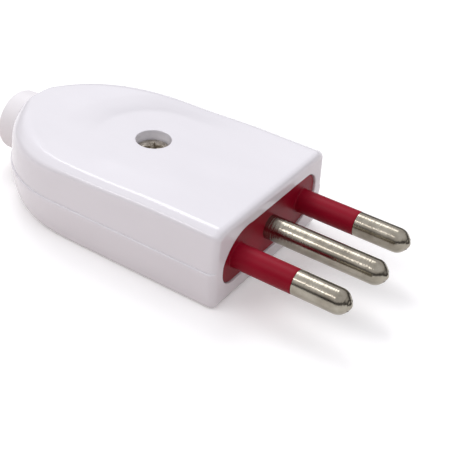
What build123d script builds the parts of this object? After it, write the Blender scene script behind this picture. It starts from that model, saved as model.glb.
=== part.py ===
from build123d import *
import os
from math import asin, atan, cos, radians, sin, tan

# Rewireable grounded plug with three round pins in line.
# Frame in millimetres: the origin is on the middle pin's axis at the engagement face,
# +X is the way the pins point, +Y runs across the row of pins and +Z is the side with the housing screw.

# Pins
pin_radius = 2.0
pin_spacing = 9.5
live_pin_reach = 19.0
earth_pin_reach = 20.0
pin_cone_length = 0.95
pin_cone_end_radius = 1.45
pin_dome_length = 0.95
pin_core_radius = 1.55
earth_shank_radius = 2.3
sleeve_radius = 2.0
sleeve_reach = 10.0
sleeve_root_fillet = 0.45

# Terminals at the inner ends of the pins
terminal_radius = 3.0
terminal_length = 8.6
terminal_flat_height = 1.1
terminal_shoulder = 1.2
terminal_screw_radius = 1.5
terminal_screw_reach = 3.6
terminal_head_radius = 2.5
terminal_head_height = 1.7
clamping_plate_length = 5.0
clamping_plate_thickness = 0.8
clamping_plate_lip = 0.6
clamping_plate_lip_depth = 0.7

# Housing outline, the same for both half shells at the parting plane
body_half_width = 16.6
body_length = 47.5
nose_reach = 16.7
nose_length = 18.4
nose_power = 2.16
nose_root = 1.82
upper_height = 6.9
lower_height = 7.2
side_draft = 17.0
upper_edge_radius = 1.95
upper_rear_edge_radius = 2.5
lower_edge_radius = 1.0
lower_rear_edge_radius = 1.8
front_edge_radius = 1.5
parting_chamfer = 0.15
roof_crown = 0.1
flat_crown = 0.02
roof_rear_crown = 0.5
roof_fall_start = 14.0
roof_mid_fall = 0.75
roof_mid = 33.0
roof_rear_fall = 1.1
base_rise_reach = 9.5
base_rear_rise = 1.2
base_trim = 0.1

# Housing walls
side_wall = 1.4
roof_wall = 1.8
front_wall = 1.8
rear_wall = 2.3
rib_thickness = 1.2
inner_corner_radius = 0.8

# Mouth in the front wall and the carrier that fills it
mouth_half_height = 4.2
mouth_arc_start = 6.0
mouth_arc_end = 13.4
mouth_ear_reach = 14.05
mouth_ear_radius = 3.0
carrier_recess = 0.7
carrier_edge_fillet = 0.3
carrier_flange_margin = 0.45
carrier_flange_thickness = 2.2
carrier_half_width = 13.1
partition_thickness = 1.2
partition_rise = 3.2
cradle_top = -0.4
carrier_rib_height = 2.6
wire_gap_depth = 1.5

# Housing screw and nut
housing_screw_x = -23.0
housing_screw_radius = 1.5
housing_screw_length = 10.0
housing_head_radius = 2.65
housing_head_height = 2.0
housing_head_gap = 0.25
housing_head_depth = 1.3
housing_boss_radius = 4.4
nut_across_flats = 5.5
nut_thickness = 2.4
nut_recess = 0.9

# Locating pegs between the half shells
peg_x = -17.6
peg_y = 12.3
peg_radius = 1.1
peg_height = 1.8
peg_boss_radius = 2.1

# Cable guard in the rear wall
cable_bore_radius = 3.5
guard_radius = 5.5
guard_end_radius = 5.3
guard_length = 4.8
guard_rim_fillet = 0.9
guard_mouth_fillet = 0.6
guard_neck_radius = 4.4
guard_flange_radius = 5.0
guard_flange_thickness = 1.5

# Cord clamp
clamp_bite = 0.1
clamp_seat_height = 1.6
clamp_from_rear = 10.5
clamp_width = 5.0
clamp_thickness = 1.5
clamp_half_span = 7.4
clamp_foot_radius = 2.5
clamp_foot_height = -0.6
clamp_arch_rise = 3.1
clamp_screw_radius = 1.45
clamp_screw_length = 5.0
clamp_screw_head_radius = 2.2
clamp_screw_head_height = 1.5

# Screw recesses
slot_width = 0.7
slot_depth = 0.7
cross_reach = 1.5
cross_depth = 0.9

# Clearances, and how far a cutter runs past the face it opens
fit_gap = 0.1
thread_gap = 0.1
overcut = 2.0

pin_places = {"line": -pin_spacing, "earth": 0.0, "neutral": pin_spacing}
plate_front = -carrier_recess
plate_back = -front_wall - fit_gap - carrier_flange_thickness
terminal_back = plate_back - terminal_length
terminal_middle = plate_back - terminal_length / 2
nose_start = body_length - nose_reach
base_rise_start = body_length - base_rise_reach
clamp_x = -body_length + clamp_from_rear
lower_floor = lower_height - roof_wall
rear_wall_front = -body_length + rear_wall


def rod_x(radius, start, end, y=0.0, z=0.0):
    """A round rod along X between two places."""
    return Pos((start + end) / 2, y, z) * Rot(0, 90, 0) * Cylinder(radius, abs(end - start))


def rod_z(radius, low, high, x, y):
    """A round rod along Z between two heights."""
    return Pos(x, y, (low + high) / 2) * Cylinder(radius, high - low)


def block(x_range, y_range, z_range):
    """A rectangular block between three pairs of limits."""
    size = [high - low for low, high in (x_range, y_range, z_range)]
    middle = [(high + low) / 2 for low, high in (x_range, y_range, z_range)]
    return Pos(*middle) * Box(*size)


def plan_half_width(x, inset=0.0):
    """Half width of the housing at the parting plane: straight sides, then a rounded nose."""
    along = max(0.0, (-nose_start - x) / (nose_length - inset))
    return (body_half_width - inset) * max(0.0, 1 - along**nose_power) ** (1 / nose_root)


def blend(x, start, end):
    """0 before start, 1 past end, and a smooth rise between, for a place x that runs towards -X."""
    share = min(1.0, max(0.0, (-x - start) / (end - start)))
    return share * share * (3 - 2 * share)


def roof_height(x):
    """Height of the upper shell's roof along the middle: flat, then falling gently to the rear."""
    first_fall = roof_mid_fall * blend(x, roof_fall_start, roof_mid)
    last_fall = (roof_rear_fall - roof_mid_fall) * blend(x, roof_mid, body_length + front_wall)
    return upper_height - first_fall - last_fall


def base_depth(x):
    """Depth of the lower shell's base below the parting plane: flat, then rising a little at the rear."""
    return lower_height - base_rear_rise * blend(x, base_rise_start, body_length + front_wall)


def corner_edges(place, half_width, height, corner, crown, chamfer):
    """Edges of one drafted cross-section, from the base line over the roof and back, as (Y, Z) points."""
    draft = radians(side_draft)
    tilt = 0.0
    for _ in range(4):
        centre_z = height - crown - corner * cos(tilt)
        centre_y = half_width - (centre_z - chamfer) * tan(draft) - corner / cos(draft)
        roof_y = centre_y + corner * sin(tilt)
        tilt = 2 * atan(crown / roof_y)
    middle = (draft + radians(90) - tilt) / 2
    side_top = (centre_y + corner * cos(draft), centre_z + corner * sin(draft))
    arc_middle = (centre_y + corner * cos(middle), centre_z + corner * sin(middle))
    roof_end = (roof_y, height - crown)
    right = [(half_width - chamfer, 0.0), (half_width, chamfer), side_top, arc_middle, roof_end]
    left = [(-y, z) for y, z in right]
    points = {"right": [place(*p) for p in right], "left": [place(*p) for p in left]}
    edges = [Edge.make_line(points["left"][0], points["right"][0])]
    for side in ("right", "left"):
        foot, shoulder, top, arc, end = points[side]
        if chamfer:
            edges.append(Edge.make_line(foot, shoulder))
        edges.append(Edge.make_line(shoulder, top))
        edges.append(Edge.make_three_point_arc(top, arc, end))
    right_end, left_end = points["right"][4], points["left"][4]
    edges.append(Edge.make_three_point_arc(right_end, place(0.0, height), left_end))
    return edges


def section(x, side, half_width, height, corner, crown, chamfer):
    """A closed cross-section wire in the plane X = x, on the upper (side 1) or lower (side -1) half."""
    return Wire(corner_edges(lambda y, z: Vector(x, y, side * z), half_width, height, corner, crown, chamfer))


def outer_stations():
    """Places of the cross-sections, closer together where the nose curves in."""
    straight = [-nose_start * share for share in (0.0, 0.2, 0.4, 0.6, 0.8, 1.0)]
    nose = body_length - nose_start
    return straight + [-nose_start - nose * share for share in (0.2, 0.4, 0.58, 0.74, 0.87, 0.95, 1.0)]


def outer_half(side):
    """The solid outer form of one half shell, lofted through its drafted cross-sections."""
    sections = []
    for x in outer_stations():
        rear = blend(x, roof_fall_start, body_length)
        if side > 0:
            height = roof_height(x)
            corner = upper_edge_radius + rear * (upper_rear_edge_radius - upper_edge_radius)
            crown = roof_crown + rear * (roof_rear_crown - roof_crown)
        else:
            height = base_depth(x) + base_trim
            corner = lower_edge_radius + rear * (lower_rear_edge_radius - lower_edge_radius)
            crown = flat_crown
        sections.append(section(x, side, plan_half_width(x), height, corner, crown, parting_chamfer))
    return Solid.make_loft(sections)


def cavity_half(side):
    """The hollow of one half shell, inside the walls."""
    stations = [-front_wall] + [x for x in outer_stations() if rear_wall_front < x < -2 * front_wall]
    sections = []
    for x in stations + [rear_wall_front]:
        height = (roof_height(x) if side > 0 else base_depth(x)) - roof_wall
        width = plan_half_width(x, side_wall)
        sections.append(section(x, side, width, height, inner_corner_radius, flat_crown, 0.0))
    return Solid.make_loft(sections)


def mouth_outline(x, margin):
    """The mouth's outline in the plane X = x: a wide arc at one end and an ear at the other, in each half."""
    half_height = mouth_half_height + margin
    arc_end = mouth_arc_end + margin
    ear_reach = mouth_ear_reach + margin
    ear_radius = mouth_ear_radius + margin
    ear_centre_y = ear_reach - ear_radius
    ear_centre_z = half_height - ear_radius
    arc_bulge = (arc_end - mouth_arc_start) * sin(radians(45)) + mouth_arc_start
    ear_bulge = ear_radius * cos(radians(45))
    edges = []
    for turn in (1, -1):
        def place(y, z):
            return Vector(x, turn * y, turn * z)
        edges.append(Edge.make_three_point_arc(
            place(-arc_end, 0),
            place(-arc_bulge, half_height * sin(radians(45))),
            place(-mouth_arc_start, half_height),
        ))
        edges.append(Edge.make_line(place(-mouth_arc_start, half_height), place(ear_centre_y, half_height)))
        edges.append(Edge.make_three_point_arc(
            place(ear_centre_y, half_height),
            place(ear_centre_y + ear_bulge, ear_centre_z + ear_bulge),
            place(ear_reach, ear_centre_z),
        ))
        edges.append(Edge.make_line(place(ear_reach, ear_centre_z), place(ear_reach, 0)))
        edges.append(Edge.make_line(place(ear_reach, 0), place(arc_end, 0)))
    return Face(Wire(edges))


def outer_shell(side):
    """One half shell's outer form with its front edges rounded, the base cut to the flat that it lies on."""
    outer = outer_half(side)
    front_edges = [
        edge for edge in outer.faces().sort_by(Axis.X)[-1].edges()
        if abs(edge.center().Z) > parting_chamfer
    ]
    outer = outer.fillet(front_edge_radius, front_edges)
    along = (-body_length - overcut, overcut)
    across = (-body_half_width - overcut, body_half_width + overcut)
    return (outer & block(along, across, (-lower_height, upper_height + overcut))).solid()


def cross_rib(side, low, high):
    """A rib across the housing just behind the carrier, which keeps the pins from being pushed in."""
    back = terminal_back - fit_gap - rib_thickness
    heights = sorted((side * low, side * high))
    return block((back, back + rib_thickness), (-body_half_width, body_half_width), heights)


def rear_opening():
    """The round seat in the rear wall for the cable guard's neck and inner flange."""
    neck = rod_x(guard_neck_radius + fit_gap, -body_length - overcut, rear_wall_front)
    flange_front = rear_wall_front + guard_flange_thickness + 2 * fit_gap
    return neck + rod_x(guard_flange_radius + fit_gap, rear_wall_front, flange_front)


def mouth_cutter():
    """The hole through the front wall in which the carrier shows."""
    return extrude(mouth_outline(overcut, 0.0), amount=front_wall + 2 * overcut, dir=(-1, 0, 0))


def upper_shell():
    """The cover that carries the housing screw."""
    outer = outer_shell(1)
    inside = cavity_half(1)
    head_seat = upper_height - housing_head_depth - housing_head_height
    inner_parts = rod_z(housing_boss_radius, 0, upper_height, housing_screw_x, 0)
    inner_parts += cross_rib(1, carrier_rib_height, upper_height)
    for y in (-peg_y, peg_y):
        inner_parts += rod_z(peg_boss_radius, 0, upper_height, peg_x, y)
    shell = outer - (inside - inner_parts)
    head_hole_radius = housing_head_radius + housing_head_gap
    shell -= rod_z(head_hole_radius, head_seat, upper_height + overcut, housing_screw_x, 0)
    shell -= rod_z(housing_screw_radius + thread_gap, -overcut, upper_height, housing_screw_x, 0)
    for y in (-peg_y, peg_y):
        shell -= rod_z(peg_radius + fit_gap, -overcut, peg_height + fit_gap, peg_x, y)
    return shell - mouth_cutter() - rear_opening()


def nut_prism(across_flats, low, high):
    """A six-sided prism on the housing screw's axis."""
    profile = Pos(housing_screw_x, 0, low) * RegularPolygon(across_flats / 2, 6, major_radius=False)
    return extrude(profile, amount=high - low)


def lower_shell():
    """The base, with the nut pocket, the cord clamp's bosses and the locating pegs."""
    outer = outer_shell(-1)
    inside = cavity_half(-1)
    inner_parts = rod_z(housing_boss_radius, -lower_height, 0, housing_screw_x, 0)
    inner_parts += cross_rib(-1, wire_gap_depth, lower_height)
    for y in (-clamp_half_span, clamp_half_span):
        inner_parts += rod_z(clamp_foot_radius, -lower_height, clamp_foot_height, clamp_x, y)
    inner_parts += cord_seat()
    for y in (-peg_y, peg_y):
        inner_parts += rod_z(peg_boss_radius, -lower_height, 0, peg_x, y)
    shell = outer - (inside - inner_parts)
    nut_ceiling = -lower_height + nut_recess + nut_thickness
    shell -= nut_prism(nut_across_flats + 2 * fit_gap, -lower_height - overcut, nut_ceiling)
    shell -= rod_z(housing_screw_radius + thread_gap, -lower_height, overcut, housing_screw_x, 0)
    for y in (-clamp_half_span, clamp_half_span):
        depth = clamp_foot_height + clamp_thickness - clamp_screw_length - fit_gap
        shell -= rod_z(clamp_screw_radius + thread_gap, depth, overcut, clamp_x, y)
    shell = shell - mouth_cutter() - rear_opening()
    for y in (-peg_y, peg_y):
        shell += rod_z(peg_radius, -overcut, peg_height, peg_x, y)
    return shell


def cord_seat():
    """The grooved seat between the clamp's bosses, on which the cord lies."""
    half = clamp_width / 2
    reach = clamp_half_span
    seat = block((clamp_x - half, clamp_x + half), (-reach, reach), (-lower_height, -clamp_seat_height))
    return seat - rod_x(cable_bore_radius - clamp_bite, clamp_x - clamp_width, clamp_x + clamp_width)


def pin_carrier():
    """The insulating moulding: the plate in the mouth, the sleeves on the pins, and the terminals' cradle."""
    plate_depth = front_wall + fit_gap - carrier_recess
    plate = extrude(mouth_outline(plate_front, -fit_gap), amount=plate_depth, dir=(-1, 0, 0)).solid()
    front = plate.faces().sort_by(Axis.X)[-1]
    plate = plate.fillet(carrier_edge_fillet, front.edges())
    body = plate + extrude(
        mouth_outline(-front_wall - fit_gap, carrier_flange_margin),
        amount=carrier_flange_thickness, dir=(-1, 0, 0),
    )
    for y in (-pin_spacing, pin_spacing):
        body += rod_x(sleeve_radius, plate_back, sleeve_reach, y)
    body = root_fillets(body)
    body += cradle()
    for name, y in pin_places.items():
        radius = earth_shank_radius + fit_gap if name == "earth" else pin_core_radius
        body -= rod_x(radius, plate_back - overcut, sleeve_reach + overcut, y)
    return body


def root_fillets(body):
    """Round the roots of the two sleeves where they leave the plate."""
    roots = [
        edge for edge in body.edges().filter_by(GeomType.CIRCLE)
        if abs(edge.radius - sleeve_radius) < fit_gap and abs(edge.center().X - plate_front) < fit_gap
    ]
    return body.fillet(sleeve_root_fillet, roots)


def cradle():
    """The block behind the flange with a half-round bed for each terminal and a partition between them."""
    floor = -lower_floor + fit_gap
    bed = block((terminal_back, plate_back), (-carrier_half_width, carrier_half_width), (floor, cradle_top))
    low_edges = [
        edge for edge in bed.edges().filter_by(Axis.X)
        if edge.center().Z < floor + fit_gap
    ]
    bed = bed.chamfer(inner_corner_radius, None, low_edges)
    for y in (-pin_spacing / 2, pin_spacing / 2):
        half = partition_thickness / 2
        bed += block((terminal_back, plate_back), (y - half, y + half), (cradle_top, partition_rise))
    for y in pin_places.values():
        bed -= rod_x(terminal_radius + fit_gap, terminal_back, plate_back, y)
    return bed


def pin(reach, shank_radius, shank_end, y):
    """A turned pin: terminal, shank, bare metal, then a cone and a dome at the tip."""
    cone_start = reach - pin_dome_length - pin_cone_length
    dome_start = reach - pin_dome_length
    dome_radius = (pin_cone_end_radius**2 + pin_dome_length**2) / (2 * pin_dome_length)
    half_angle = asin(pin_cone_end_radius / dome_radius) / 2
    dome_middle = (reach - dome_radius * (1 - cos(half_angle)), dome_radius * sin(half_angle))
    outline = Polyline(
        (reach, 0), (terminal_back, 0), (terminal_back, terminal_radius), (plate_back, terminal_radius),
        (plate_back, shank_radius), (shank_end, shank_radius), (shank_end, pin_radius),
        (cone_start, pin_radius), (dome_start, pin_cone_end_radius),
    )
    dome = ThreePointArc((dome_start, pin_cone_end_radius), dome_middle, (reach, 0))
    turned = revolve(make_face([*outline.edges(), *dome.edges()]), axis=Axis.X)
    flat = block(
        (terminal_back - overcut, plate_back - terminal_shoulder),
        (-terminal_radius - overcut, terminal_radius + overcut),
        (terminal_flat_height, terminal_radius + overcut),
    )
    hole_reach = terminal_radius + overcut
    screw_hole = rod_z(terminal_screw_radius + thread_gap, -hole_reach, hole_reach, terminal_middle, 0)
    return Pos(0, y, 0) * (turned - flat - screw_hole)


def clamping_plate(y):
    """The saddle plate under a terminal screw, with a lip turned down on each side of the terminal."""
    low = terminal_flat_height
    high = low + clamping_plate_thickness
    half = clamping_plate_length / 2
    x_range = (terminal_middle - half, terminal_middle + half)
    inner = terminal_radius + fit_gap
    outer = inner + clamping_plate_lip
    plate = block(x_range, (-outer, outer), (low, high))
    for side in (-1, 1):
        y_range = sorted((side * inner, side * outer))
        plate += block(x_range, y_range, (low - clamping_plate_lip_depth, low))
    plate -= rod_z(terminal_screw_radius + thread_gap, low - overcut, high + overcut, terminal_middle, 0)
    return Pos(0, y, 0) * plate


def slotted_screw(x, y, head_bottom, head_radius, head_height, shank_radius, shank_length):
    """A cheese-head screw with a straight slot, standing along Z."""
    top = head_bottom + head_height
    screw = rod_z(head_radius, head_bottom, top, x, y)
    screw += rod_z(shank_radius, head_bottom - shank_length, head_bottom, x, y)
    slot = block(
        (x - head_radius - overcut, x + head_radius + overcut),
        (y - slot_width / 2, y + slot_width / 2),
        (top - slot_depth, top + overcut),
    )
    return screw - slot


def housing_screw():
    """The long screw through both shells, with a cross recess in its head."""
    head_bottom = upper_height - housing_head_depth - housing_head_height
    top = head_bottom + housing_head_height
    screw = rod_z(housing_head_radius, head_bottom, top, housing_screw_x, 0)
    screw += rod_z(housing_screw_radius, head_bottom - housing_screw_length, head_bottom, housing_screw_x, 0)
    for turn in (45, 135):
        arm = Box(2 * cross_reach, slot_width, 2 * cross_depth)
        screw -= Pos(housing_screw_x, 0, top) * Rot(0, 0, turn) * arm
    return screw


def housing_nut():
    """The hexagonal nut in the base's pocket."""
    low = -lower_height + nut_recess
    high = low + nut_thickness
    nut = nut_prism(nut_across_flats, low, high)
    return nut - rod_z(housing_screw_radius + thread_gap, low - overcut, high + overcut, housing_screw_x, 0)


def cable_guard():
    """The round cable guard: an outer sleeve, a neck held by the rear wall and an inner flange."""
    sleeve_start = -body_length - fit_gap
    sleeve_end = sleeve_start - guard_length
    flange_back = rear_wall_front + fit_gap
    flange_front = flange_back + guard_flange_thickness
    outline = Polyline(
        (flange_front, cable_bore_radius), (flange_front, guard_flange_radius),
        (flange_back, guard_flange_radius), (flange_back, guard_neck_radius),
        (sleeve_start, guard_neck_radius), (sleeve_start, guard_radius),
        (sleeve_end, guard_end_radius), (sleeve_end, cable_bore_radius),
        close=True,
    )
    guard = revolve(make_face(outline.edges()), axis=Axis.X).solid()
    rim = guard.edges().filter_by(GeomType.CIRCLE).sort_by(Axis.X)
    outer_rim = [edge for edge in rim[:2] if edge.radius > cable_bore_radius + fit_gap]
    guard = guard.fillet(guard_rim_fillet, outer_rim)
    mouth_rim = [
        edge for edge in guard.edges().filter_by(GeomType.CIRCLE)
        if abs(edge.center().X - sleeve_end) < fit_gap and edge.radius < cable_bore_radius + fit_gap
    ]
    return guard.fillet(guard_mouth_fillet, mouth_rim)


def cord_clamp():
    """The arched strap that presses the cord on its seat."""
    foot = clamp_foot_height
    top = foot + clamp_thickness
    outer_y = clamp_half_span + clamp_foot_radius
    arch_y = clamp_half_span - clamp_screw_head_radius - 2 * fit_gap
    inner_y = arch_y - clamp_thickness
    half = clamp_width / 2
    arch_under = foot + clamp_arch_rise
    arch_over = arch_under + clamp_thickness
    outline = [
        Edge.make_line((0, outer_y, foot), (0, outer_y, top)),
        Edge.make_line((0, outer_y, top), (0, arch_y, top)),
        Edge.make_three_point_arc((0, arch_y, top), (0, 0, arch_over), (0, -arch_y, top)),
        Edge.make_line((0, -arch_y, top), (0, -outer_y, top)),
        Edge.make_line((0, -outer_y, top), (0, -outer_y, foot)),
        Edge.make_line((0, -outer_y, foot), (0, -inner_y, foot)),
        Edge.make_three_point_arc((0, -inner_y, foot), (0, 0, arch_under), (0, inner_y, foot)),
        Edge.make_line((0, inner_y, foot), (0, outer_y, foot)),
    ]
    strap = Pos(clamp_x - half, 0, 0) * extrude(Face(Wire(outline)), amount=clamp_width, dir=(1, 0, 0))
    for y in (-clamp_half_span, clamp_half_span):
        strap -= rod_z(clamp_screw_radius + thread_gap, foot - overcut, top + overcut, clamp_x, y)
    return strap


def parts():
    """Every piece of the plug by name."""
    pieces = {
        "upper_shell": upper_shell(),
        "lower_shell": lower_shell(),
        "pin_carrier": pin_carrier(),
        "cable_guard": cable_guard(),
        "cord_clamp": cord_clamp(),
        "housing_screw": housing_screw(),
        "housing_nut": housing_nut(),
    }
    plate_top = terminal_flat_height + clamping_plate_thickness
    for name, y in pin_places.items():
        if name == "earth":
            pieces["earth_pin"] = pin(earth_pin_reach, earth_shank_radius, plate_front, y)
        else:
            pieces[name + "_pin"] = pin(live_pin_reach, pin_core_radius, sleeve_reach, y)
        pieces[name + "_clamping_plate"] = clamping_plate(y)
        pieces[name + "_terminal_screw"] = slotted_screw(
            terminal_middle, y, plate_top, terminal_head_radius, terminal_head_height,
            terminal_screw_radius, terminal_screw_reach,
        )
    for name, y in (("near", -clamp_half_span), ("far", clamp_half_span)):
        pieces[name + "_clamp_screw"] = slotted_screw(
            clamp_x, y, clamp_foot_height + clamp_thickness, clamp_screw_head_radius, clamp_screw_head_height,
            clamp_screw_radius, clamp_screw_length,
        )
    return pieces


os.makedirs("parts", exist_ok=True)
for node, shape in parts().items():
    export_step(shape, "parts/" + node + ".step")
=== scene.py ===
# %% [markdown]
# # Dressing a three-pin plug for its picture
#
# The plug's solid parts arrive ready made, in metres, each at its place. This notebook gives them their
# looks: a camera, soft studio light, two finely curved half shells, turned pins, a moulded carrier, a cable
# guard, a screw head and their materials. Sizes are written in millimetres, and mm turns them into metres.

# %% Load the solid parts
from math import cos, pi, radians, sin, tan

import bmesh
import bpy
import numpy as np
from mathutils import Matrix, Vector


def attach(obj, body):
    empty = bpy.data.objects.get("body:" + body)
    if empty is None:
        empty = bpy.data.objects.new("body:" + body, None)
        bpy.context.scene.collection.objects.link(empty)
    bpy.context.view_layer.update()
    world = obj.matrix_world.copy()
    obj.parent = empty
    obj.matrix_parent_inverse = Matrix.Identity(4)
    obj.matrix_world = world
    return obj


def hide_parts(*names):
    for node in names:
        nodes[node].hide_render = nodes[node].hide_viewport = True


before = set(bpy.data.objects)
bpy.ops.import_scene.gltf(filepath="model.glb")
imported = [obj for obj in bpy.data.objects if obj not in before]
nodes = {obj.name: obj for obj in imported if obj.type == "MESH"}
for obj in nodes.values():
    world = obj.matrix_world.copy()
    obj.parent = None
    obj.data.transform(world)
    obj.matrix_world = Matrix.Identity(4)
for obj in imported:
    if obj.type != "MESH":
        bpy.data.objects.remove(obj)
bpy.context.view_layer.update()
mm = 0.001
print("solid parts:", len(nodes))

# %% [markdown]
# ## The camera
#
# A photograph's camera can be found from things whose size is known, here the three pins and the housing's
# outlines. The result is a place, three angles, and a focal length in image pixels. Blender wants the focal
# length in millimetres of sensor, so it is scaled by the sensor's width. The picture is a cut from a wider
# one, which the lens shift puts back.

# %% Camera
camera_place = Vector((0.06442, -0.12386, 0.09603))
azimuth, elevation, roll = radians(32.203), radians(31.323), radians(4.294)
picture_pixels = 460
focal_pixels = 1095.1
principal_pixel = (202.0, 158.7)


def camera_axes(azimuth, elevation, roll):
    """Right, up and back directions: a turn about Z, a tilt upwards, then a roll about the line of sight."""
    back = Vector((sin(azimuth) * cos(elevation), -cos(azimuth) * cos(elevation), sin(elevation)))
    level = Vector((cos(azimuth), sin(azimuth), 0.0))
    rise = back.cross(level)
    return cos(roll) * level + sin(roll) * rise, cos(roll) * rise - sin(roll) * level, back


camera_data = bpy.data.cameras.new("camera")
camera = bpy.data.objects.new("camera", camera_data)
bpy.context.collection.objects.link(camera)
right, up, back = camera_axes(azimuth, elevation, roll)
camera.matrix_world = Matrix.Translation(camera_place) @ Matrix((right, up, back)).transposed().to_4x4()
camera_data.lens = focal_pixels / picture_pixels * camera_data.sensor_width
camera_data.shift_x = 0.5 - principal_pixel[0] / picture_pixels
camera_data.shift_y = principal_pixel[1] / picture_pixels - 0.5
camera_data.clip_start = 0.01
bpy.context.scene.camera = camera
print("lens", round(camera_data.lens, 1), "mm")

# %% [markdown]
# ## Grids, stitches and meshes
#
# Every new piece is made of grids of points. A grid is an array with rows, columns and three coordinates,
# so one formula on whole arrays places all its points. Grids that share an edge are stitched by merging the
# points that coincide, which gives one closed skin that Blender can shade smoothly.

# %% Grid tools


def grid_faces(rows, columns, hole=None):
    """Corner numbers of a grid's four-sided faces, but for a hole given as (row, row, column, column)."""
    row, column = np.meshgrid(np.arange(rows - 1), np.arange(columns - 1), indexing="ij")
    first = row * columns + column
    faces = np.stack([first, first + 1, first + columns + 1, first + columns], axis=-1)
    keep = np.ones(first.shape, bool)
    if hole:
        keep[hole[0]:hole[1], hole[2]:hole[3]] = False
    return faces[keep]


def ruled(first, last, steps):
    """Straight lines from each point of one edge to the same point of another, as rows of a grid."""
    share = np.linspace(0, 1, steps + 1)[:, None, None]
    return first[None] * (1 - share) + last[None] * share


def closed(loop):
    """A loop of points with its first point once more at the end."""
    return np.concatenate([loop, loop[:1]])


def block_loop(grid, hole):
    """The points round a rectangular block of a grid's cells, in order."""
    top, bottom, left, right = hole
    return np.concatenate([
        grid[top, left:right], grid[top:bottom, right],
        grid[bottom, right:left:-1], grid[bottom:top:-1, left],
    ])


def turned(profile, columns, centre=(0.0, 0.0), axis="x"):
    """A profile of (place along the axis, radius) carried once round the axis."""
    profile = np.asarray(profile, float)
    angle = np.linspace(0, 2 * pi, columns + 1)
    along = np.repeat(profile[:, :1], columns + 1, axis=1)
    first = centre[0] + profile[:, 1:] * np.cos(angle)
    second = centre[1] + profile[:, 1:] * np.sin(angle)
    order = {"x": (along, first, second), "z": (first, second, along)}[axis]
    return np.stack(order, axis=-1)


def piece(name, grids, material, replaced, sharp=35.0):
    """One closed mesh from grids in millimetres, stitched, faced outwards and put in the CAD nodes' place."""
    points, faces, count = [], [], 0
    for grid in grids:
        grid, hole = grid if isinstance(grid, tuple) else (grid, None)
        points.append(grid.reshape(-1, 3))
        faces.append(grid_faces(grid.shape[0], grid.shape[1], hole) + count)
        count += points[-1].shape[0]
    mesh = bpy.data.meshes.new(name)
    mesh.from_pydata(np.concatenate(points) * mm, [], np.concatenate(faces).tolist())
    work = bmesh.new()
    work.from_mesh(mesh)
    bmesh.ops.remove_doubles(work, verts=work.verts, dist=0.002 * mm)
    bmesh.ops.dissolve_degenerate(work, edges=work.edges, dist=0.001 * mm)
    bmesh.ops.recalc_face_normals(work, faces=work.faces)
    open_edges = sum(not edge.is_manifold for edge in work.edges)
    work.to_mesh(mesh)
    work.free()
    mesh.shade_smooth()
    mesh.set_sharp_from_angle(angle=radians(sharp))
    mesh.materials.append(material)
    made = bpy.data.objects.new(name, mesh)
    bpy.context.collection.objects.link(made)
    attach(made, "root")
    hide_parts(*replaced)
    print(name, "faces", len(mesh.polygons), "open edges", open_edges)


# %% [markdown]
# ## Materials
#
# Moulded plastic is never one flat colour: it has faint flow marks, a fine ripple from the tool's polish
# and small differences in gloss. Each plastic here mixes two close colours and changes its roughness with
# one slow noise, and ripples its surface with two very shallow bumps, a wide one and a fine one. All the
# patterns read Object coordinates, so they keep their real size on every piece.

# %% Node helpers


def new_material(name):
    """An empty node material with its shader, output and Object coordinates."""
    material = bpy.data.materials.new(name)
    material.use_nodes = True
    tree = material.node_tree
    tree.nodes.clear()
    output = tree.nodes.new("ShaderNodeOutputMaterial")
    shader = tree.nodes.new("ShaderNodeBsdfPrincipled")
    tree.links.new(shader.outputs[0], output.inputs["Surface"])
    places = tree.nodes.new("ShaderNodeTexCoord")
    return material, tree, shader, places.outputs["Object"]


def stretched(tree, places, scale):
    """The coordinates scaled along each axis, for a pattern drawn out in one direction."""
    mapping = tree.nodes.new("ShaderNodeMapping")
    mapping.inputs["Scale"].default_value = scale
    tree.links.new(places, mapping.inputs["Vector"])
    return mapping.outputs["Vector"]


def noise(tree, places, scale, detail):
    """Cloudy noise; scale is in waves per metre."""
    made = tree.nodes.new("ShaderNodeTexNoise")
    made.inputs["Scale"].default_value = scale
    made.inputs["Detail"].default_value = detail
    tree.links.new(places, made.inputs["Vector"])
    return made.outputs["Fac"]


def between(tree, value, low, high):
    """A number from low to high that follows a noise from 0.3 to 0.7."""
    ramp = tree.nodes.new("ShaderNodeMapRange")
    for name, number in (("From Min", 0.3), ("From Max", 0.7), ("To Min", low), ("To Max", high)):
        ramp.inputs[name].default_value = number
    tree.links.new(value, ramp.inputs["Value"])
    return ramp.outputs["Result"]


def colours(tree, value, stops):
    """A colour that follows a noise through (place, colour) stops."""
    ramp = tree.nodes.new("ShaderNodeValToRGB")
    marks = ramp.color_ramp.elements
    while len(marks) < len(stops):
        marks.new(0.5)
    for mark, (place, colour) in zip(marks, stops):
        mark.position = place
        mark.color = (*colour, 1.0)
    tree.links.new(value, ramp.inputs["Fac"])
    return ramp.outputs["Color"]


def bump(tree, shader, height, distance, strength=1.0, under=None):
    """A bump of a given depth in metres, on top of another one where under is given."""
    made = tree.nodes.new("ShaderNodeBump")
    made.inputs["Distance"].default_value = distance
    made.inputs["Strength"].default_value = strength
    tree.links.new(height, made.inputs["Height"])
    if under:
        tree.links.new(under, made.inputs["Normal"])
    tree.links.new(made.outputs["Normal"], shader.inputs["Normal"])
    return made.outputs["Normal"]


# %% Moulded plastics


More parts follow.
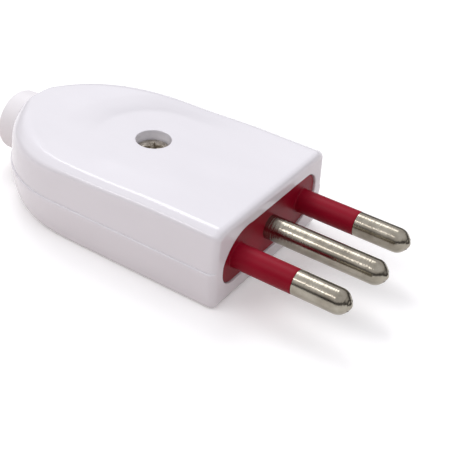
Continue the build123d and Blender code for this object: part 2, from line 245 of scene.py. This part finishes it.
def plastic(name, dark, light, gloss, ripple, specular=0.5):
    """Moulded plastic: two close colours, a roughness that wanders, a slow ripple and a fine skin."""
    material, tree, shader, places = new_material(name)
    flow = noise(tree, stretched(tree, places, (0.5, 1.0, 1.0)), 90.0, 4.0)
    skin = noise(tree, places, 2600.0, 2.0)
    wave = noise(tree, places, 160.0, 1.0)
    tree.links.new(colours(tree, flow, [(0.3, dark), (0.7, light)]), shader.inputs["Base Color"])
    tree.links.new(between(tree, flow, *gloss), shader.inputs["Roughness"])
    slow = bump(tree, shader, wave, ripple * mm)
    bump(tree, shader, skin, 0.1 * ripple * mm, 0.5, slow)
    shader.inputs["Specular IOR Level"].default_value = specular
    return material


housing_white = plastic("housing_white", (0.80, 0.785, 0.82), (0.84, 0.825, 0.86), (0.13, 0.19), 0.03)
guard_white = plastic("guard_white", (0.84, 0.815, 0.83), (0.88, 0.86, 0.875), (0.38, 0.5), 0.03, 0.35)
carrier_red = plastic("carrier_red", (0.195, 0.001, 0.009), (0.3, 0.003, 0.02), (0.34, 0.46), 0.05, 0.13)
clamp_white = plastic("clamp_plastic", (0.74, 0.73, 0.72), (0.8, 0.79, 0.78), (0.4, 0.5), 0.03)

# %% [markdown]
# ## Metals
#
# The pins are turned brass with a nickel coat. Polishing along the bar leaves very fine lengthwise lines,
# which a noise drawn out along X gives, and turning leaves faint rings. Both only move the roughness and
# the bump, because a metal's colour is its reflection. Screws are duller and have darker spots.

# %% Turned and plated metals
turning_marks = (4300.0, 170.0, 170.0)


def metal(name, dark, light, gloss, lines, depth, rings=0.0):
    """Metal with fine lines drawn along one axis, cloudy stains and, where asked for, rings across X."""
    material, tree, shader, places = new_material(name)
    shader.inputs["Metallic"].default_value = 1.0
    stains = noise(tree, places, 420.0, 4.0)
    brushed = noise(tree, stretched(tree, places, lines), 1.0, 3.0)
    tree.links.new(colours(tree, stains, [(0.3, dark), (0.65, light)]), shader.inputs["Base Color"])
    tree.links.new(between(tree, brushed, *gloss), shader.inputs["Roughness"])
    drawn = bump(tree, shader, brushed, depth * mm)
    if rings:
        turning = noise(tree, stretched(tree, places, turning_marks), 1.0, 2.0)
        bump(tree, shader, turning, rings * mm, 1.0, drawn)
    return material


along_bar, every_way, along_thread = (60.0, 3200.0, 3200.0), (1400.0, 1400.0, 1400.0), (900.0, 900.0, 300.0)
dull_nickel, bright_nickel = (0.26, 0.235, 0.19), (0.385, 0.357, 0.297)
pin_nickel = metal("nickel_pin", dull_nickel, bright_nickel, (0.12, 0.24), along_bar, 0.012, 0.04)
screw_metal = metal("plated_screw", (0.22, 0.185, 0.14), (0.56, 0.52, 0.45), (0.2, 0.42), every_way, 0.09)
nut_brass = metal("brass_nut", (0.5, 0.36, 0.14), (0.66, 0.5, 0.24), (0.25, 0.4), along_thread, 0.01)
print("metals:", [metal_made.name for metal_made in (pin_nickel, screw_metal, nut_brass)])

# %% [markdown]
# ## The housing's shape
#
# The housing is two shells that meet halfway up. Seen from above, its sides run straight and then close in
# a rounded nose. Each cross-section has sides that lean in, as a moulding must to leave its tool, a narrow
# sloping band along the roof's edge, and small round corners between them: these corners give the two pale
# lines that the eye reads as gloss. The roof is flat round the screw and dips into a shallow dish behind a
# soft crease.

# %% Housing sizes, in millimetres
body_half_width, body_length = 16.4, 47.5
nose_start, nose_length, nose_power, nose_root = 30.2, 18.65, 2.16, 1.82
cover_height, base_height = 6.9, 7.2
cover_draft, base_draft = radians(3.6), radians(10.0)
cover_step, rim_round = 0.3, 0.25
front_round, rear_round, rear_start = 1.2, 0.6, 26.0
base_rise, rise_start, rise_end = 1.8, 36.0, 49.3
band_angle, band_drop = radians(25.0), 0.74
screw_x, plateau_radius, crease_softness = -23.0, 9.5, 0.4
roof_slope, dish_depth, dish_start, dish_full = 0.16, 0.62, 12.0, 25.0
return_start, return_end = 6.0, 13.0
wall, roof_wall, front_wall, rear_wall = 1.4, 1.8, 1.8, 4.2
neck_radius, boss_radius, shaft_radius = 4.5, 4.4, 1.6


def blend(x, start, end):
    """0 before start and 1 past end, with the smooth curve 3s^2 - 2s^3 between, for x running towards -X."""
    share = np.clip((-x - start) / (end - start), 0, 1)
    return share**2 * (3 - 2 * share)


def half_width(x, inset=0.0):
    """Half width at the parting plane: constant, then a nose where powers of length and width add to 1."""
    along = np.clip((-nose_start - x) / (nose_length - inset), 0, None)
    return (body_half_width - inset) * np.clip(1 - along**nose_power, 0, None) ** (1 / nose_root)


def roof(x, y):
    """Roof height: flat round the screw, then a dish, depth (1 - exp(-slope d / depth)), up to the rim."""
    beyond = np.hypot(np.minimum(x - screw_x, 0), y) - plateau_radius
    distance = (beyond + np.sqrt(beyond**2 + crease_softness)) / 2
    fall = dish_depth * (1 - np.exp(-roof_slope * distance / dish_depth))
    share = blend(x, dish_start, dish_full) * (1 - blend(-distance, return_start, return_end))
    return cover_height - share * fall


def base(x, y):
    """Depth of the base: flat, less and less towards the rear end, and the same for every y."""
    return base_height - base_rise * blend(x, rise_start, rise_end) + 0.0 * y


# %% [markdown]
# ## One cross-section as a function
#
# A round corner between two straight lines is an arc whose centre lies inside both. If the lines face n1
# and n2, the centre is the corner minus r (n1 + n2) / (1 + n1.n2), and the arc is that centre plus r times
# every direction between n1 and n2. The same few lines of arithmetic then round the rim, the side's top and
# the roof's edge of every cross-section at once.

# %% Cross-sections


def facing(angle):
    """Unit direction (y, z) at an angle from straight up towards the outside."""
    return np.stack([np.sin(angle), np.cos(angle)], axis=-1)


def rounded(corner, before, after, radius, count):
    """Points of the arc that rounds a corner between lines facing two angles; one row a section."""
    first, last = facing(before), facing(after)
    middle = (first + last) / (1 + np.sum(first * last, axis=-1, keepdims=True))
    share = np.linspace(0, 1, count)
    angle = before[:, None] * (1 - share) + after[:, None] * share
    centre = corner - radius[:, None] * middle
    return centre[:, None] + radius[:, None, None] * facing(angle)


def sections(x, width, height, draft, band, drop, corner, edge, rim, roof_columns):
    """Cross-sections at every x: rim, side, rounded corner, band, rounded edge, roof, then mirrored."""
    level = np.zeros_like(x)
    side_facing = level + pi / 2 - draft
    top = height(x, 0.8 * width)
    # The roof's edge and the height there depend on each other, and three rounds settle both
    for _ in range(3):
        shoulder_z = top - drop
        shoulder_y = width - shoulder_z * tan(draft)
        edge_y = shoulder_y - drop / np.tan(band)
        top = height(x, edge_y)
    tilt = np.arctan(height(x, edge_y - 0.2) / 0.2 - top / 0.2)
    foot = rounded(np.stack([width, level], -1), level + pi, side_facing, rim, 5)
    shoulder = rounded(np.stack([shoulder_y, shoulder_z], -1), side_facing, band, corner, 9)
    verge = rounded(np.stack([edge_y, top], -1), band, tilt, edge, 9)
    side = ruled(foot[:, -1], shoulder[:, 0], 9).transpose(1, 0, 2)[:, 1:-1]
    slope = ruled(shoulder[:, -1], verge[:, 0], 3).transpose(1, 0, 2)[:, 1:-1]
    flank = np.concatenate([foot, side, shoulder, slope, verge], axis=1)
    across = np.linspace(1, -1, roof_columns)[1:-1]
    roof_y = verge[:, -1, :1] * across
    roof_z = height(x[:, None], roof_y)
    # Close to its edge the roof bends by a hair, so that it meets the rounded edge exactly
    meeting = (verge[:, -1, 1] - height(x, verge[:, -1, 0]))[:, None] * np.abs(across) ** 8
    crown = np.stack([roof_y, roof_z + meeting], axis=-1)
    mirrored = flank[:, ::-1] * np.array([-1.0, 1.0])
    outline = np.concatenate([flank, crown, mirrored], axis=1)
    return np.concatenate([np.broadcast_to(x[:, None, None], (*outline.shape[:2], 1)), outline], axis=-1)


# %% [markdown]
# ## The mouth's outline
#
# The front wall has a slot for the red carrier. Above the parting plane it runs from a wide arc on one side
# along a straight top to a tight ear on the other, and below the plane the same outline is turned by half a
# turn. That keeps the two shells the same at their mouths, and the carrier fits either way up.

# %% Mouth
mouth_height, arc_start, arc_end = 4.2, 6.0, 13.4
ear_reach, ear_radius, mouth_edge = 13.4, 3.0, 0.18


def through_three(first, middle, last, count):
    """Points of the circle through three points; the perpendicular bisectors cross at its centre."""
    first, middle, last = map(np.asarray, (first, middle, last))
    lines = np.array([middle - first, last - middle])
    right_side = np.array([np.dot(lines[0], (middle + first) / 2), np.dot(lines[1], (last + middle) / 2)])
    centre = np.linalg.solve(lines, right_side)
    start, end = (np.arctan2(*(p - centre)[::-1]) for p in (first, last))
    angle = np.linspace(start, end + 2 * pi * (end < start), count)
    return centre + np.linalg.norm(first - centre) * np.stack([np.cos(angle), np.sin(angle)], axis=-1)


def mouth_half(margin):
    """The upper half of the mouth's outline as (y, z) points, grown by a margin: ear, top line, wide arc."""
    height, end = mouth_height + margin, arc_end + margin
    reach, radius = ear_reach + margin, ear_radius + margin
    turn = np.linspace(0, pi / 2, 25)
    ear_middle = np.array([reach - radius, height - radius])
    ear = ear_middle + radius * np.stack([np.cos(turn), np.sin(turn)], axis=-1)
    down = np.stack([np.full(6, reach), np.linspace(0, height - radius, 6)], axis=-1)[:-1]
    line = np.stack([np.linspace(reach - radius, -arc_start, 40), np.full(40, height)], axis=-1)[1:-1]
    bulge = (-(arc_start + (end - arc_start) * sin(pi / 4)), height * sin(pi / 4))
    arc = through_three((-arc_start, height), bulge, (-end, 0.0), 40)
    return np.concatenate([down, ear, line, arc])


def mouth_at(angle, side, margin):
    """Points (y, z) of the mouth at polar angles from +Y over the roof; side -1 is the lower shell's."""
    outline = mouth_half(margin)
    polar = np.arctan2(np.abs(outline[:, 1]), outline[:, 0])
    reach = np.hypot(outline[:, 0], outline[:, 1])
    found = np.interp(angle if side > 0 else pi - angle, polar, reach)
    return found[:, None] * np.stack([np.cos(angle), np.sin(angle)], axis=-1)


# %% [markdown]
# ## A half shell from two sheets
#
# A moulded shell is an outer skin and an inner skin a wall apart. Both are the same kind of grid here: its
# rows run from the mouth's edge, over the front wall, along the housing and down the rear wall to the hole
# for the cable guard. Its columns run from one rim over the roof to the other rim. Because the two sheets
# have the same rows and columns, the wall is closed by straight lines between their four edges. Where the
# screw goes through, a block of cells is left out and the space is filled with rows that change from the
# block's outline to the hole's circle.

# %% Half shells
shell_rows_straight, shell_rows_nose, nose_closing = 56, 60, 0.25
roof_columns, side_columns, block_reach = 65, 25, 6.2
corner_round, corner_growth, edge_round, edge_growth = 1.0, 1.6, 2.0, 3.5
drop_growth, drop_inset, band_growth, cover_rim = 1.2, 0.36, 0.15, 0.05
base_round, base_growth, band_tangents, inner_round = 1.0, 2.4, 2.4, 0.6


def at_x(place, outline):
    """A row of points (y, z) put at one place along X."""
    return np.concatenate([np.full((len(outline), 1), place), outline], axis=1)


def wall_rows(edge, boundary, shares):
    """Rows on a flat end wall, from an opening's edge to the cross-section that bounds the wall."""
    return [edge * (1 - share) + boundary * share for share in shares]


def skin_stations():
    """Places along X and the skin's inset there: a quarter circle at each end, plain rows between.

    Along the nose the rows lie closer and closer, by the curve (1 + c) s - c s^2."""
    turn = np.linspace(pi / 2, 0, 9)
    front_x, front_in = -front_round * (1 - np.sin(turn)), front_round * (1 - np.cos(turn))
    straight = np.linspace(-front_round, -nose_start, shell_rows_straight)[1:-1]
    share = np.linspace(0, 1, shell_rows_nose)
    closer = (1 + nose_closing) * share - nose_closing * share**2
    nose = -nose_start - (body_length - rear_round - nose_start) * closer
    rear_x = -body_length + rear_round * (1 - np.sin(turn[::-1]))
    rear_in = rear_round * (1 - np.cos(turn[::-1]))
    plain = np.concatenate([straight, nose[:-1]])
    return np.concatenate([front_x, plain, rear_x]), np.concatenate([front_in, 0 * plain, rear_in])


def outer_sheet(side):
    """The outer grid of a half shell with its end walls; z is positive for both halves."""
    x, inset = skin_stations()
    rear = blend(x, rear_start, body_length)
    draft = cover_draft if side > 0 else base_draft
    if side > 0:
        corner = corner_round + corner_growth * rear - inset
        edge = edge_round + edge_growth * rear - inset
        drop = (band_drop + drop_growth * rear) * (1 - drop_inset * inset)
        band = band_angle + band_growth * rear
        width, height, rim = half_width(x) - cover_step, roof, cover_rim
    else:
        # One large round corner: two arcs with a short band between, in tangent lengths of the arcs
        half_turn = (pi / 2 - draft) / 2
        corner = edge = np.maximum(base_round + base_growth * rear - inset, 0.3)
        band = np.full_like(x, half_turn)
        drop = band_tangents * corner * tan(half_turn / 2) * sin(half_turn)
        width, height, rim = half_width(x), base, rim_round
    corner, edge = np.maximum(corner, 0.15), np.maximum(edge, 0.2)
    lowered = lambda places, y: height(places, y) - (inset if places.ndim == 1 else inset[:, None])
    width = width - inset / cos(draft)
    skin = sections(x, width, lowered, draft, band, drop, corner, edge, np.full_like(x, rim), roof_columns)
    angle = np.arctan2(skin[0, :, 2], skin[0, :, 1])
    turn = np.linspace(0, pi / 2, 4)
    lip = [at_x(-mouth_edge * (1 - sin(t)), mouth_at(angle, side, mouth_edge * (1 - cos(t)))) for t in turn]
    front = lip + wall_rows(lip[-1], skin[0], (0.12, 0.35, 0.6, 0.85))
    rear_angle = np.arctan2(skin[-1, :, 2], skin[-1, :, 1])
    neck = at_x(-body_length, neck_radius * np.stack([np.cos(rear_angle), np.sin(rear_angle)], axis=-1))
    back = wall_rows(skin[-1], neck, (0.15, 0.5, 1.0))
    return np.concatenate([np.stack(front), skin, np.stack(back)]), len(front), len(back)


def inner_sheet(side, outer, front_count, back_count):
    """The inner grid with the same rows and columns, a wall's thickness inside the outer one."""
    skin_x = outer[front_count:-back_count, 0, 0]
    x = -front_wall + skin_x * (body_length - front_wall - rear_wall) / body_length
    if side > 0:
        height = lambda places, y: np.maximum(roof(places, y) - roof_wall, neck_radius + 0.25)
    else:
        height = lambda places, y: base(places, y) - roof_wall
    draft = cover_draft if side > 0 else base_draft
    small = np.full_like(x, inner_round)
    band = np.full_like(x, (pi / 2 - draft) / 2)
    width = half_width(x, wall) - cover_step
    skin = sections(x, width, height, draft, band, small, small, small, 0.08 * small, roof_columns)
    mouth = at_x(-front_wall, outer[0, :, 1:])
    neck = at_x(x[-1], outer[-1, :, 1:])
    front = wall_rows(mouth, skin[0], np.linspace(0, 1, front_count + 1)[:-1])
    back = wall_rows(skin[-1], neck, np.linspace(0, 1, back_count + 1)[1:])
    return np.concatenate([np.stack(front), skin, np.stack(back)])


def screw_block(outer):
    """Rows and columns of the grid cells that lie in a square round the screw."""
    middle = outer.shape[1] // 2
    rows = np.nonzero(np.abs(outer[:, middle, 0] - screw_x) <= block_reach)[0]
    columns = np.nonzero(np.abs(outer[rows[0], :, 1]) <= block_reach)[0]
    columns = columns[(columns > side_columns) & (columns < outer.shape[1] - 1 - side_columns)]
    return rows[0], rows[-1], columns[0], columns[-1]


def hole_rows(loop, radius, height, shares):
    """Rows from the block's outline to a hole's edge at the same polar angles, on a surface height(x, y)."""
    away = loop[:, :2] - np.array([screw_x, 0.0])
    angle = np.arctan2(away[:, 1], away[:, 0])
    rim = np.stack([screw_x + radius(angle) * np.cos(angle), radius(angle) * np.sin(angle)], axis=-1)
    rows = []
    for share in shares:
        flat = loop[:, :2] * (1 - share) + rim * share
        rows.append(np.concatenate([flat, height(flat[:, 0], flat[:, 1])[:, None]], axis=1))
    # The first row is the block's own outline again, so that the two can be stitched
    rows[0] = loop
    return rows, angle


def ring(angle, radius, z):
    """Points round the screw's axis at one height, a radius away at each angle."""
    level = np.full_like(angle, z)
    return np.stack([screw_x + radius * np.cos(angle), radius * np.sin(angle), level], axis=-1)


def well(angle, profile):
    """A hole's wall: (radius function, z) pairs carried round the screw's axis."""
    return [ring(angle, radius(angle), z) for radius, z in profile]


def constant(radius):
    """A radius that is the same at every angle."""
    return lambda angle: np.full_like(angle, radius)


def hexagon(angle):
    """Distance to a hexagon's side: half its width over the cosine of the angle from the side's normal."""
    return nut_half_width / np.cos((angle + pi / 6) % (pi / 3) - pi / 6)


def half_shell(name, side, well_profile, outside_radius, seat):
    """A half shell as one closed skin, with the screw's well through it."""
    outer, front_count, back_count = outer_sheet(side)
    inner = inner_sheet(side, outer, front_count, back_count)
    hole = screw_block(outer)
    surface = roof if side > 0 else base
    under = lambda x, y: surface(x, y) - roof_wall
    shares = (0.0, 0.2, 0.45, 0.7, 0.88, 1.0)
    outside, angle = hole_rows(block_loop(outer, hole), outside_radius, surface, shares)
    inside, inner_angle = hole_rows(block_loop(inner, hole), constant(boss_radius), under, (0.0, 0.5, 1.0))
    shaft = well(angle, well_profile)
    boss = ring(inner_angle, boss_radius, 0.0)
    chain = outside + shaft + [boss] + inside[::-1]
    grids = [
        (outer, hole), (inner, hole), np.stack([closed(row) for row in chain]),
        ruled(outer[0], inner[0], 3), ruled(outer[-1], inner[-1], 3),
        ruled(outer[:, 0], inner[:, 0], 3), ruled(outer[:, -1], inner[:, -1], 3),
    ]
    if side < 0:
        flip = np.array([1.0, 1.0, -1.0])
        grids = [(g[0] * flip, g[1]) if isinstance(g, tuple) else g * flip for g in grids]
    piece(name, grids, housing_white, [seat])


# %% Cover and base
hole_radius, hole_edge, hole_middle, hole_floor = 2.9, 0.14, 5.2, 3.6
nut_half_width, nut_middle, nut_floor = 2.85, 5.4, 3.9
roof_at_hole = float(roof(np.array([screw_x]), np.array([hole_radius]))[0])
cover_well = []
for t in np.linspace(0, pi / 2, 5)[1:]:
    radius = hole_radius + hole_edge * (1 - sin(t))
    cover_well.append((constant(radius), roof_at_hole - hole_edge * (1 - cos(t))))
cover_well += [(constant(hole_radius), hole_middle), (constant(hole_radius), hole_floor)]
cover_well += [(constant(shaft_radius), hole_floor), (constant(shaft_radius), 0.0)]
nut_well = [(hexagon, nut_middle), (hexagon, nut_floor), (constant(shaft_radius), nut_floor)]
nut_well += [(constant(shaft_radius), 0.0)]
half_shell("cover_shell", 1, cover_well, constant(hole_radius + hole_edge), "upper_shell")
half_shell("base_shell", -1, nut_well, hexagon, "lower_shell")

# %% [markdown]
# ## The pin carrier
#
# The red carrier is one moulding: a plate that fills the mouth and two sleeves that cover the necks of the
# live pins, so that no bare metal can be touched while they go in. The plate is the mouth's outline carried
# inwards in steps. The sleeves are turned profiles with a soft root where they leave the plate.

# %% Carrier plate and sleeves
plate_front, plate_back, flange_front = -0.3, -4.1, -1.9
flange_margin, plate_margin, plate_round = 0.45, -0.04, 0.2
sleeve_radius, sleeve_end, neck, root_round, sleeve_round = 2.0, 10.0, 1.55, 0.2, 0.1
pin_spacing, socket_depth = 9.5, 0.6


def mouth_loop(margin):
    """The whole mouth outline: the upper half, then the same turned by half a turn."""
    upper = mouth_half(margin)
    return closed(np.concatenate([upper, -upper]))


def carrier_plate():
    """Loops of the outline with their place along X: back, flange, side, rounded edge, then to the middle."""
    steps = [(plate_back, flange_margin), (flange_front, flange_margin), (flange_front, plate_margin)]
    steps += [(plate_front - plate_round, plate_margin)]
    for t in np.linspace(0, pi / 2, 6)[1:]:
        steps.append((plate_front - plate_round * (1 - sin(t)), plate_margin - plate_round * (1 - cos(t))))
    rows = [at_x(x, mouth_loop(margin)) for x, margin in steps]
    face = [rows[-1] * np.array([1.0, share, share]) for share in (0.97, 0.85, 0.65, 0.45, 0.25, 0.0)]
    rear = [rows[0] * np.array([1.0, share, share]) for share in (0.0, 0.5)]
    return np.stack(rear + rows + face)


def sleeve(y):
    """A turned sleeve: hollow root, straight wall, rounded end, and the bore round the pin's neck."""
    turn = np.linspace(0, pi / 2, 7)
    sunk = plate_front - socket_depth
    start = [(sunk, neck), (sunk, sleeve_radius + root_round)]
    foot = [(1 - cos(t), 1 - sin(t)) for t in turn]
    root = [(plate_front + root_round * u, sleeve_radius + root_round * v) for u, v in foot]
    along = [(x, sleeve_radius) for x in np.linspace(root_round, sleeve_end - 0.6, 12)]
    end = [(sleeve_end - sleeve_round * v, sleeve_radius - sleeve_round * u) for u, v in foot[::2]]
    return turned(start + root + along + end + [(sleeve_end, neck), (sunk, neck)], 72, (y, 0.0))


carrier_grids = [carrier_plate()] + [sleeve(y) for y in (-pin_spacing, pin_spacing)]
piece("carrier", carrier_grids, carrier_red, ["pin_carrier"], 50.0)

# %% [markdown]
# ## The pins
#
# A pin is turned on a lathe, so its profile carried round its axis is how it was really made. The tip is
# rounded so that it finds its way into the socket, and ends in a small dome inside the groove that the
# cutting tool leaves.

# %% Turned pins
pin_radius, ring_radius, dome_base = 2.0, 0.95, 0.84
shoulder_start, shoulder_length, shoulder_power = 2.3, 1.9, 2.4
groove_outer, groove_inner, groove_front, groove_back, dome_height = 0.93, 0.91, 0.38, 0.47, 0.42
terminal_start, terminal_end, terminal_radius = -12.7, -4.1, 3.0
live_reach, earth_reach, earth_shank, neck_bevel = 19.0, 20.0, 2.3, 0.06


def tip(reach):
    """A shoulder that falls with a power of the length, a groove, and a dome that falls with r squared."""
    share = np.linspace(0, 1, 16)
    radius = pin_radius - (pin_radius - ring_radius) * share**shoulder_power
    shoulder = list(zip(reach - shoulder_start + shoulder_length * share, radius))
    groove = [(reach - groove_front, groove_outer), (reach - groove_back, groove_inner)]
    groove += [(reach - groove_back, dome_base)]
    dome = [(reach - dome_height * s**2, dome_base * s) for s in np.linspace(1, 0, 12)]
    return shoulder + groove + dome


def turned_pin(name, y, reach, shank, shank_end):
    """One pin: terminal, shank through the carrier, bare length and tip."""
    profile = [
        (terminal_start, 0.0), (terminal_start, terminal_radius), (terminal_end, terminal_radius),
        (terminal_end, shank), (shank_end, shank), (shank_end, pin_radius - neck_bevel),
        (shank_end + neck_bevel, pin_radius),
    ]
    bare = [(x, pin_radius) for x in np.linspace(shank_end + 0.5, reach - 2.5, 16)]
    grid = turned(profile + bare + tip(reach), 96, (y, 0.0))
    piece(name, [grid], pin_nickel, [name.replace("turned_", "")], 28.0)


turned_pin("turned_line_pin", -pin_spacing, live_reach, neck, sleeve_end)
turned_pin("turned_neutral_pin", pin_spacing, live_reach, neck, sleeve_end)
turned_pin("turned_earth_pin", 0.0, earth_reach, earth_shank, plate_front - 0.15)

# %% [markdown]
# ## The cable guard
#
# The guard is a short soft tube held in the rear wall. It is turned as well: a rounded rim, a gentle taper
# and a rounded mouth where a cord would come out.

# %% Cable guard
guard_end, guard_start, guard_bore, guard_neck = -52.4, -47.6, 3.5, 4.4
guard_radius, guard_end_radius, guard_rim, guard_mouth = 5.5, 5.3, 0.9, 0.6
flange_start, flange_end, flange_radius = -43.6, -45.1, 5.0
edge_bevel, taper_start, taper_length, taper_fall = 0.08, 0.3, 3.3, 0.18


def guard_profile():
    """(x, radius) pairs round the guard's wall: flange, neck, tapered sleeve with round edges, bore."""
    turn = np.linspace(0, pi / 2, 8)
    flange = [(flange_start, guard_bore), (flange_start, flange_radius), (flange_end, flange_radius)]
    shell = [(flange_end, guard_neck), (guard_start, guard_neck), (guard_start, guard_radius - edge_bevel)]
    shell += [(guard_start - edge_bevel, guard_radius)]
    for s in np.linspace(0, 1, 8):
        shell.append((guard_start - taper_start - taper_length * s, guard_radius - 0.01 - taper_fall * s))
    rim = [(guard_end + guard_rim * (1 - sin(t)), guard_end_radius - guard_rim * (1 - cos(t))) for t in turn]
    mouth = [(guard_end + guard_mouth * (1 - cos(t)), guard_bore + guard_mouth * (1 - sin(t))) for t in turn]
    return flange + shell + rim + mouth + [(-50.0, guard_bore), (flange_start, guard_bore)]


piece("guard_sleeve", [turned(guard_profile(), 120)], guard_white, ["cable_guard"], 50.0)

# %% [markdown]
# ## The housing screw
#
# Only the head shows, deep in its hole. It is a round grid whose height is a function of the place: a
# shallow dome, minus a cross-shaped recess with sloping sides. At each place the recess is the deeper of
# two slots, and each slot's depth follows the distance from its own middle line.

# %% Screw head and shank
head_radius, head_low, head_top, head_round = 2.65, 3.6, 5.6, 0.18
crown_drop, crown_curve = 0.08, 0.03
slot_half_width, slot_half_length, slot_depth = 0.42, 1.6, 0.9
slot_side, slot_end = 0.14, 0.4
shank_radius, shank_low = 1.5, -6.4


def recess(x, y):
    """Depth of the cross: for each arm, deep within its width and length, with sloping sides."""
    first, second = (x + y) / 2**0.5, (x - y) / 2**0.5

    def arm(along, across):
        wide = np.clip((slot_half_width - np.abs(across)) / slot_side, 0, 1)
        long = np.clip((slot_half_length - np.abs(along)) / slot_end, 0, 1)
        return wide * long

    return slot_depth * np.maximum(arm(first, second), arm(second, first))


def screw_top():
    """The head's top as rings of radius times angle, with height dome minus recess."""
    radius = np.linspace(0, head_radius - head_round, 40)[:, None]
    angle = np.linspace(0, 2 * pi, 145)[None]
    x, y = radius * np.cos(angle), radius * np.sin(angle)
    height = head_top - crown_drop - crown_curve * radius**2 - recess(x, y)
    return np.stack([screw_x + x, y, height], axis=-1)


top_face = screw_top()
edge_height = float(top_face[-1, 0, 2])
side_profile = [
    (edge_height, head_radius - head_round), (edge_height - 0.08, head_radius - 0.05),
    (edge_height - 0.22, head_radius), (head_low, head_radius), (head_low, shank_radius),
    (shank_low, shank_radius), (shank_low, 0.0),
]
side_face = turned(side_profile, 144, (screw_x, 0.0), "z")
piece("housing_screw_body", [top_face, side_face], screw_metal, ["housing_screw"], 30.0)

# %% [markdown]
# ## The parts inside
#
# Nobody sees the nut, the terminals' screws and plates or the cord clamp while the plug is closed, but
# whoever takes the model apart does. They keep their solid parts and get the metals and the plastic made
# above.

# %% Finishes of the inner parts
inner_finish = {"brass_nut": nut_brass, "plated_screw": screw_metal, "clamp_plastic": clamp_white}
for name, node in nodes.items():
    for place in node.material_slots:
        if place.material and place.material.name.split(".")[0] in inner_finish:
            place.material = inner_finish[place.material.name.split(".")[0]]
finished = [name for name, node in nodes.items() if node.material_slots[0].material in inner_finish.values()]
print("refinished:", sorted(finished))

# %% [markdown]
# ## Floor, surroundings and light
#
# White studio pictures are made of big soft surfaces. The floor is white to the camera and in the pins'
# mirrors, and it keeps the shadow. Light that bounces off it is a little warmer, as the photograph's shaded
# sides are. The studio is bright overhead and dark towards the horizon, where the room is: without that
# dark band round it, polished metal looks like white paint, and the roof's dish behind the screw, which
# mirrors it, would not show. Two soft boxes, one high behind and one at the front left, draw the pale lines
# on the housing's edges and along the pins.

# %% Floor and surroundings
floor_size, floor_lift = 3.0, 0.18
paper_white, paper_bounce = (0.96, 0.96, 0.955, 1.0), (0.84, 0.77, 0.745, 1.0)


def floor_material():
    """White diffuse floor; only the light that bounces off it to matt surfaces is warmer."""
    material = bpy.data.materials.new("floor_paper")
    material.use_nodes = True
    tree = material.node_tree
    shader = tree.nodes["Principled BSDF"]
    rays = tree.nodes.new("ShaderNodeLightPath")
    mix = tree.nodes.new("ShaderNodeMix")
    mix.data_type = "RGBA"
    mix.inputs["A"].default_value = paper_white
    mix.inputs["B"].default_value = paper_bounce
    tree.links.new(rays.outputs["Is Diffuse Ray"], mix.inputs["Factor"])
    tree.links.new(mix.outputs["Result"], shader.inputs["Base Color"])
    shader.inputs["Roughness"].default_value = 1.0
    shader.inputs["Specular IOR Level"].default_value = 0.0
    seen = rays.outputs["Is Camera Ray"]
    for ray in ("Is Glossy Ray", "Is Transmission Ray"):
        either = tree.nodes.new("ShaderNodeMath")
        either.operation = "MAXIMUM"
        tree.links.new(seen, either.inputs[0])
        tree.links.new(rays.outputs[ray], either.inputs[1])
        seen = either.outputs[0]
    lift = tree.nodes.new("ShaderNodeMath")
    lift.operation = "MULTIPLY"
    lift.inputs[1].default_value = floor_lift
    tree.links.new(seen, lift.inputs[0])
    tree.links.new(lift.outputs[0], shader.inputs["Emission Strength"])
    shader.inputs["Emission Color"].default_value = (1.0, 1.0, 1.0, 1.0)
    return material


floor_mesh = bpy.data.meshes.new("floor")
corners = np.array([(-1, -1), (1, -1), (1, 1), (-1, 1)]) * floor_size
floor_mesh.from_pydata(np.c_[corners, np.full(4, -base_height * mm)].tolist(), [], [(0, 1, 2, 3)])
floor_mesh.materials.append(floor_material())
floor = bpy.data.objects.new("floor", floor_mesh)
bpy.context.collection.objects.link(floor)


def surroundings():
    """World: one studio for every kind of ray, whose brightness rises with the height Z."""
    world = bpy.data.worlds.new("studio")
    bpy.context.scene.world = world
    world.use_nodes = True
    tree = world.node_tree
    tree.nodes.clear()
    places = tree.nodes.new("ShaderNodeTexCoord")
    split = tree.nodes.new("ShaderNodeSeparateXYZ")
    tree.links.new(places.outputs["Generated"], split.inputs[0])
    studio = colours(tree, split.outputs["Z"], [
        (0.02, (0.05, 0.045, 0.04)), (0.3, (0.13, 0.12, 0.12)), (0.475, (0.88, 0.86, 0.87)),
        (0.7, (0.93, 0.92, 0.97)), (1.0, (0.97, 0.97, 1.0)),
    ])
    background = tree.nodes.new("ShaderNodeBackground")
    tree.links.new(studio, background.inputs["Color"])
    output = tree.nodes.new("ShaderNodeOutputWorld")
    tree.links.new(background.outputs[0], output.inputs["Surface"])


surroundings()

# %% Soft boxes


def soft_box(name, toward, distance, size, radiance, colour):
    """A rectangular lamp of a given radiance; its power is radiance times area times pi."""
    lamp = bpy.data.lights.new(name, "AREA")
    lamp.shape = "RECTANGLE"
    lamp.size, lamp.size_y = size
    lamp.energy = radiance * size[0] * size[1] * pi
    lamp.color = colour
    made = bpy.data.objects.new(name, lamp)
    direction = Vector(toward).normalized()
    made.location = Vector((-0.01, 0.0, 0.0)) + direction * distance
    made.rotation_mode = "QUATERNION"
    made.rotation_quaternion = direction.to_track_quat("Z", "Y")
    bpy.context.collection.objects.link(made)


soft_box("high_box", (-0.45, 0.38, 0.81), 0.8, (0.36, 0.28), 4.2, (0.98, 0.98, 1.0))
soft_box("front_box", (-0.45, -0.50, 0.74), 0.8, (0.4, 0.07), 8.0, (1.0, 0.97, 0.96))
scene = bpy.context.scene
scene.view_settings.view_transform = "Standard"

# %% Update the scene
bpy.context.view_layer.update()
